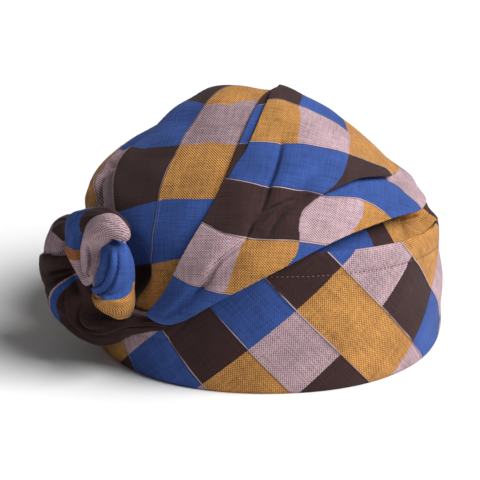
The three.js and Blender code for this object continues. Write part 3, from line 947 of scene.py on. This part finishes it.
def fold_sink(folds, length, turn, radius):
    """How far folds sink the cloth of a strand, which is unrolled to millimetres along and around."""
    total = 0
    for crease in folds:
        corners = np.array(crease.through) * (length[-1, 0], math.radians(1) * radius)
        points = curve_through(corners, np.linspace(0, len(corners) - 1, FOLD.steps + 1))
        x, y = length + 0 * turn, turn * radius + 0 * length
        gaps = np.stack([(x - point[0]) ** 2 + (y - point[1]) ** 2 for point in points], -1)
        nearest = gaps.argmin(-1)
        i = np.clip(nearest, 1, FOLD.steps - 1)
        tangent = unit(points[i + 1] - points[i - 1])
        side = tangent[..., 0] * (y - points[i][..., 1]) - tangent[..., 1] * (x - points[i][..., 0])
        past = np.sqrt(np.maximum(gaps.min(-1) - side**2, 0))
        slope = np.exp(-np.abs(side) / np.where(side > 0, crease.reach, FOLD.steep))
        ends = np.sqrt(swell(nearest, FOLD.steps, FOLD.early, FOLD.late))
        total = total + crease.depth * ends * slope * np.exp(-((past / FOLD.past) ** 2))
    return total


def strand_path(rows, count):
    """The middle line of a strand, its radius along it, and the way that the knot faces."""
    facing = math.radians(KNOT.facing)
    across = np.array([-math.sin(facing), math.cos(facing), 0])
    up = np.array([0, 0, 1.0])
    out = np.array([math.cos(facing), math.sin(facing), 0])
    centre = np.array([KNOT.x, KNOT.y, KNOT.z])
    corners = centre + np.stack([rows["across"], rows["up"], rows["out"]], -1) @ np.stack([across, up, out])
    at = np.linspace(0, len(corners) - 1, count + 1)
    return curve_through(corners, at), along(rows["radius"], at), out


def hat_outside(direction):
    heading, angle = angles_of(direction)
    return np.maximum(crown_distance(direction), band_cover(heading, angle, band_top(heading)))


def strand_piece(name):
    path, radius, out = strand_path(STRANDS[name], STRAND_CELLS.long)
    tangent = unit(np.gradient(path, axis=0))
    normal = unit(out - (tangent @ out)[:, None] * tangent)
    side = np.cross(tangent, normal)
    end = STRAND_ENDS[name]
    run = np.concatenate([[0], np.cumsum(np.linalg.norm(np.diff(path, axis=0), axis=1))])
    to_end = np.minimum(run, run[-1] - run)
    row = np.linspace(0, len(STRANDS[name]["radius"]) - 1, len(run))
    length = run - np.interp(end.tail, row, run)
    share = (length / length[-1])[:, None]
    cap = np.clip(to_end / radius / end.round, 0, 1)[:, None]
    tapered = radius[:, None] * np.sqrt(np.maximum(1 - (1 - cap) ** 2, 1e-4))
    turn = np.linspace(-math.pi, math.pi, STRAND_CELLS.round + 1)[None, :]
    lobes = STRAND_LOBES.height * np.cos(STRAND_LOBES.count * turn + STRAND_LOBES.twist * share)
    sink = fold_sink(FOLDS[name], length[:, None], turn, radius[length >= 0].mean())
    waves = ripple("strand", turn * STRAND_WAVES.around, length[:, None] * STRAND_WAVES.along)
    reach = tapered * (1 + lobes) - np.minimum(sink, FOLD.most * tapered) + waves * cap
    around = np.cos(turn)[..., None] * normal[:, None] + np.sin(turn)[..., None] * side[:, None]
    seen = turn + math.radians(end.seen)
    quarter = 2 * np.arcsin(np.sin(seen)) / math.pi
    cut_back = end.slant * quarter + end.cut * np.maximum(np.cos(seen), 0)
    slide = -cut_back * smoothstep(share, SLANT_FROM, 1)
    points = path[:, None] + reach[..., None] * around + slide[..., None] * tangent[:, None]
    from_centre = points - np.array([0, 0, CROWN.centre])
    distance = np.linalg.norm(from_centre, axis=-1)
    direction = from_centre / distance[..., None]
    points = place_at(direction, np.maximum(distance, hat_outside(direction) + GAP.knot))
    blocks = STRAND_BLOCKS[name]
    slant = np.interp(share, blocks["end"], blocks["slant"])
    ends = np.concatenate([[STRAND_START], blocks["end"]])
    block = np.interp(share - slant * quarter, ends, np.arange(len(ends)))
    check = np.stack([block, 0.5 + 0 * block], -1)
    weave = np.stack([length[:, None] + 0 * turn, turn * radius[:, None]], -1)
    return grid_object(name + "_cloth", points, check, weave, ring_columns=True)


# Cloth: the main colour of each block's yarn, and the darker yarn that crosses it

COLOURS = {
    "blue": {"main": (0.030, 0.070, 0.25), "yarn": (0.021, 0.046, 0.17)},
    "brown": {"main": (0.036, 0.016, 0.016), "yarn": (0.029, 0.013, 0.013)},
    "gold": {"main": (0.50, 0.237, 0.063), "yarn": (0.05, 0.018, 0.010)},
    "lavender": {"main": (0.46, 0.318, 0.345), "yarn": (0.08, 0.048, 0.066)},
    # A darker copy of lavender: on the knot's coil it is painted shade, on the crown and the wrap a denser dark
    # yarn with painted shade
    "lilac": {"main": (0.35, 0.24, 0.265), "yarn": (0.06, 0.036, 0.05)},
    "orange": {"main": (0.34, 0.12, 0.034), "yarn": (0.12, 0.048, 0.021)},
}
THREAD = Sizes(colour=(0.09, 0.055, 0.05), paler=1.8, fibres=2500, roughness=0.7)
# Edges of the blocks are fuzzy: the size of the fuzz, and how far it moves them, by block and strip
FUZZ = Sizes(scale=1.1, move=(0.03, 0.015, 0))
# Twill: how far apart its lines and its crossing threads are, how deep it is and how much of it shows
TWILL = Sizes(pitch=1.0, thread=1.0, depth=0.3, shown=0.62, crossing=0.2, worn=0.4)
TWILL_LINES = Sizes(start=-0.6, end=0.9)
TWILL_DOTS = Sizes(start=-0.8, end=1.4, other_way=0.7)
WORN = Sizes(scale=0.35, detail=3.0, start=0.25, end=0.75)
# Uneven yarn: how often it changes along and across it, and how much each way of the weave counts
YARN = Sizes(along=0.06, across=1.1, warp=0.8, weft=0.7)
CLOUD = Sizes(scale=0.05, detail=4.0, share=0.8, offset=-0.15)
# Seams: a painted highlight along each seam's ridge and painted shade in a dark line on each side. Where each
# starts, is full, weakens and ends, in millimetres from the seam, and how strong the dark lines are
SEAM = Sizes(light=(0.44, 0.32, 0.32), dark=(0.022, 0.013, 0.015), shut=0.55, above=0.7)
SEAM_LINES = {
    "lit": (-0.1, 0.1, 0.45, 0.65),
    "below": (-0.75, -0.45, -0.1, 0.1),
    "above": (0.45, 0.65, 0.85, 1.15),
}
SEAM_PATCHES = Sizes(scale=0.06, start=0.3, end=0.62)
RIDGE = Sizes(half=1.6, flat=0.2, height=1.2, sunk_yarn=-0.4, strength=0.6)
SURFACE = {"Roughness": 0.85, "Specular IOR Level": 0.15, "Sheen Weight": 0.05, "Sheen Roughness": 0.5}
# Width of a strip where its seams are drawn
STRIP = 32.0

# Each piece's check: a row for each strip, with the colours of its blocks in turn
BAND_CHART = [
    "lavender blue lavender brown blue lavender gold brown",
    "gold brown gold gold lavender brown blue lavender",
]
CROWN_CHART = [
    # The first strip's second block is the darker lavender: a denser dark yarn with painted shade
    "gold lilac gold blue gold gold",
    # The fifth block of this strip is brown as painted shade in the gap where the crown goes into the knot
    "brown blue brown blue brown brown",
    "gold blue lavender lavender brown lavender",
    "blue lavender gold gold blue brown",
    "blue brown gold gold brown blue",
]
# The wrap's first block is the narrow strip along its edge, and its last two lie below the front pleat
WRAP_CHART = [
    "brown brown brown brown brown brown",
    "blue blue blue blue blue blue",
    "lavender lavender gold blue blue brown",
    # The fourth block of this strip is the darker lavender: a denser dark yarn with painted shade
    "brown brown brown lilac lavender gold",
    "brown blue blue brown blue blue",
    "blue gold lavender gold lavender lavender",
    "brown brown blue gold lavender blue",
]
STRAND_CHARTS = {
    "knot_end": ["lavender blue gold lavender"],
    "knot_loop": ["lavender"],
    "knot_wrap": ["brown blue orange lavender"],
    # The coil's second block is the darker lavender, as painted shade
    "knot_coil": ["brown lilac brown lavender blue brown"],
}


class Nodes:
    """A short way to add shader nodes and join them."""

    def __init__(self, material):
        material.use_nodes = True
        self.tree = material.node_tree
        self.shader = self.tree.nodes["Principled BSDF"]

    def add(self, kind, inputs=(), **settings):
        node = self.tree.nodes.new(kind)
        for name, value in settings.items():
            setattr(node, name, value)
        self.fill(node, inputs)
        return node

    def math(self, operation, a, b=0.0, c=0.0):
        return self.add("ShaderNodeMath", {0: a, 1: b, 2: c}, operation=operation).outputs[0]

    def vector(self, operation, inputs):
        return self.add("ShaderNodeVectorMath", inputs, operation=operation).outputs[0]

    def blend(self, factor, a, b):
        node = self.add("ShaderNodeMix", {0: factor, 6: a, 7: b}, data_type="RGBA")
        return node.outputs[2]

    def noise(self, vector, scale, detail=2.0, output=0):
        node = self.add("ShaderNodeTexNoise", {"Vector": vector, "Scale": scale, "Detail": detail})
        return node.outputs[output]

    def step(self, value, start, end):
        node = self.add("ShaderNodeMapRange", {0: value, 1: start, 2: end}, interpolation_type="SMOOTHSTEP")
        return node.outputs[0]

    def line(self, value, start, full, weak, end):
        """1 between two values, fading to 0 on either side."""
        return self.math("MULTIPLY", self.step(value, start, full), self.step(value, end, weak))

    def fill(self, node, inputs):
        """Join a node's inputs to other nodes' outputs, or set them."""
        for key, value in dict(inputs).items():
            if isinstance(value, bpy.types.NodeSocket):
                self.tree.links.new(value, node.inputs[key])
            else:
                node.inputs[key].default_value = value

    def finish(self, inputs):
        self.fill(self.shader, inputs)

    def ramp(self, factor, colours):
        """Flat steps of colour, each as wide as the next. Steps alike are made one."""
        node = self.add("ShaderNodeValToRGB", {0: factor})
        node.color_ramp.interpolation = "CONSTANT"
        stops = node.color_ramp.elements
        stops.remove(stops[1])
        stops[0].color = (*colours[0], 1)
        for number in range(1, len(colours)):
            if colours[number] != colours[number - 1]:
                stops.new(number / len(colours)).color = (*colours[number], 1)
        return node.outputs[0]


def cloth_material(name, chart, seam, dotted=False):
    """Checked twill: colours from the chart, darker yarn in the twill, ridged seams between strips. The seam
    says how strongly the painted highlights on the seams' ridges show."""
    rows = [row.split() for row in chart]
    names = [colour for row in rows for colour in row]
    material = bpy.data.materials.new(name)
    nodes = Nodes(material)
    check = nodes.add("ShaderNodeUVMap", uv_map="check").outputs[0]
    weave = nodes.add("ShaderNodeUVMap", uv_map="weave").outputs[0]

    # Fuzzy edges: each place takes its colour from a little to one side
    fuzz = nodes.noise(weave, FUZZ.scale, output="Color")
    centred = nodes.vector("SUBTRACT", {0: fuzz, 1: (0.5, 0.5, 0.5)})
    moved = nodes.vector("MULTIPLY_ADD", {0: centred, 1: FUZZ.move, 2: check})
    block, strip = nodes.add("ShaderNodeSeparateXYZ", {0: moved}).outputs[:2]
    row = nodes.math("FLOORED_MODULO", nodes.math("FLOOR", strip), len(rows))
    column = nodes.math("FLOORED_MODULO", nodes.math("FLOOR", block), len(rows[0]))
    number = nodes.math("MULTIPLY_ADD", row, len(rows[0]), nodes.math("ADD", column, 0.5))
    place = nodes.math("DIVIDE", number, len(names))
    main, yarn = [
        nodes.ramp(place, [COLOURS[colour][part] for colour in names]) for part in ("main", "yarn")
    ]

    # Twill: dark yarn in slanting lines or dots, broken where light threads cross over it
    along_block, across_strip = nodes.add("ShaderNodeSeparateXYZ", {0: weave}).outputs[:2]
    wave = 2 * math.pi / TWILL.pitch / math.sqrt(2)

    def slanting(way):
        return nodes.math("SINE", nodes.math("MULTIPLY", nodes.math(way, along_block, across_strip), wave))

    slant = slanting("ADD")
    if dotted:
        dots = nodes.math("MULTIPLY_ADD", slanting("SUBTRACT"), TWILL_DOTS.other_way, slant)
        lines = nodes.step(dots, TWILL_DOTS.start, TWILL_DOTS.end)
    else:
        lines = nodes.step(slant, TWILL_LINES.start, TWILL_LINES.end)
    crossing = nodes.math("SINE", nodes.math("MULTIPLY", across_strip, 2 * math.pi / TWILL.thread))
    crossed = nodes.math("MULTIPLY_ADD", crossing, TWILL.crossing, TWILL.shown)
    worn = nodes.step(nodes.noise(weave, WORN.scale, WORN.detail), WORN.start, WORN.end)
    dark = nodes.math("MULTIPLY", lines, nodes.math("MULTIPLY_ADD", worn, TWILL.worn, crossed))
    woven = nodes.blend(dark, main, yarn)

    # Uneven yarn along both ways of the weave, and wide soft patches
    warp, weft = [
        nodes.noise(nodes.add("ShaderNodeMapping", {"Vector": weave, "Scale": scale}).outputs[0], 1.0)
        for scale in ((YARN.along, YARN.across, 1), (YARN.across, YARN.along, 1))
    ]
    yarns = nodes.math("MULTIPLY_ADD", warp, YARN.warp, nodes.math("MULTIPLY", weft, YARN.weft))
    cloud = nodes.noise(weave, CLOUD.scale, CLOUD.detail)
    patches = nodes.math("MULTIPLY_ADD", cloud, CLOUD.share, CLOUD.offset)
    toned = nodes.vector("SCALE", {0: woven, 3: nodes.math("ADD", yarns, patches)})

    # Seams between strips: a painted highlight along the ridge, stronger in some places, with painted shade in
    # a dark line on each side
    exact_strip = nodes.add("ShaderNodeSeparateXYZ", {0: check}).outputs[1]
    from_seam = nodes.math("SUBTRACT", exact_strip, nodes.math("ROUND", exact_strip))
    beside = nodes.math("MULTIPLY", from_seam, STRIP)
    lit, below, above = [nodes.line(beside, *SEAM_LINES[name]) for name in ("lit", "below", "above")]
    shut = nodes.math("MULTIPLY_ADD", above, SEAM.above, below)
    noise = nodes.noise(weave, SEAM_PATCHES.scale)
    patchy = nodes.math("MULTIPLY", nodes.step(noise, SEAM_PATCHES.start, SEAM_PATCHES.end), seam)
    # The light colour is a painted highlight on the seam's ridge, and the dark colour is painted shade beside
    # it
    edged = nodes.blend(nodes.math("MULTIPLY", lit, patchy), toned, (*SEAM.light, 1))
    seamed = nodes.blend(nodes.math("MULTIPLY", shut, SEAM.shut), edged, (*SEAM.dark, 1))

    ridge = nodes.step(nodes.math("ABSOLUTE", beside), RIDGE.half, RIDGE.flat)
    sunk = nodes.math("MULTIPLY_ADD", dark, RIDGE.sunk_yarn, yarns)
    height = nodes.math("MULTIPLY_ADD", ridge, RIDGE.height, sunk)
    bump = nodes.add(
        "ShaderNodeBump", {"Strength": RIDGE.strength, "Distance": TWILL.depth * MM, "Height": height}
    )
    nodes.finish({"Base Color": seamed, "Normal": bump.outputs[0], **SURFACE})
    return material


def thread_material():
    material = bpy.data.materials.new("stitch_thread")
    nodes = Nodes(material)
    place = nodes.add("ShaderNodeTexCoord").outputs["Object"]
    fibre = nodes.noise(place, THREAD.fibres)
    pale = [THREAD.paler * part for part in THREAD.colour]
    colour = nodes.blend(fibre, (*THREAD.colour, 1), (*pale, 1))
    nodes.finish({"Base Color": colour, "Roughness": THREAD.roughness})
    return material


# Pieces

def place_piece(piece, node, material):
    piece.data.materials.append(material)
    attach(piece, "root")
    if node:
        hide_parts(node)


band = band_piece()
place_piece(band, "band", cloth_material("band_check", BAND_CHART, 0.95, dotted=True))

stitching = stitch_piece()
place_piece(stitching, None, thread_material())

crown = crown_piece()
place_piece(crown, "crown", cloth_material("crown_check", CROWN_CHART, 0.5))

wrap = wrap_piece()
place_piece(wrap, "front_wrap", cloth_material("wrap_check", WRAP_CHART, 0.95, dotted=True))

for strand in STRANDS:
    roll = strand_piece(strand)
    place_piece(roll, strand, cloth_material(strand + "_check", STRAND_CHARTS[strand], 0.6))


# Floor and light

FLOOR = Sizes(size=12.0, colour=(0.78, 0.78, 0.78), roughness=0.9)
SUN = Sizes(coming_from=(0.95, -0.36, 1.0), strength=5.25, angle=40.0)
WORLD = Sizes(colour=(1.0, 1.0, 1.0), strength=0.16)


def add_floor():
    half = FLOOR.size / 2
    corners = [(-half, -half, 0), (half, -half, 0), (half, half, 0), (-half, half, 0)]
    mesh = bpy.data.meshes.new("floor")
    mesh.from_pydata(corners, [], [(0, 1, 2, 3)])
    floor = add_object("floor", mesh)
    material = bpy.data.materials.new("floor_paint")
    Nodes(material).finish({"Base Color": (*FLOOR.colour, 1), "Roughness": FLOOR.roughness})
    mesh.materials.append(material)


def add_lights():
    data = bpy.data.lights.new("key", "SUN")
    data.energy = SUN.strength
    data.angle = math.radians(SUN.angle)
    lamp = add_object("key", data)
    lamp.rotation_euler = (-Vector(SUN.coming_from)).to_track_quat("-Z", "Y").to_euler()
    world = bpy.data.worlds.new("studio")
    world.use_nodes = True
    background = world.node_tree.nodes["Background"]
    background.inputs["Color"].default_value = (*WORLD.colour, 1)
    background.inputs["Strength"].default_value = WORLD.strength
    bpy.context.scene.world = world
    bpy.context.scene.view_settings.view_transform = "Standard"


add_floor()
add_lights()
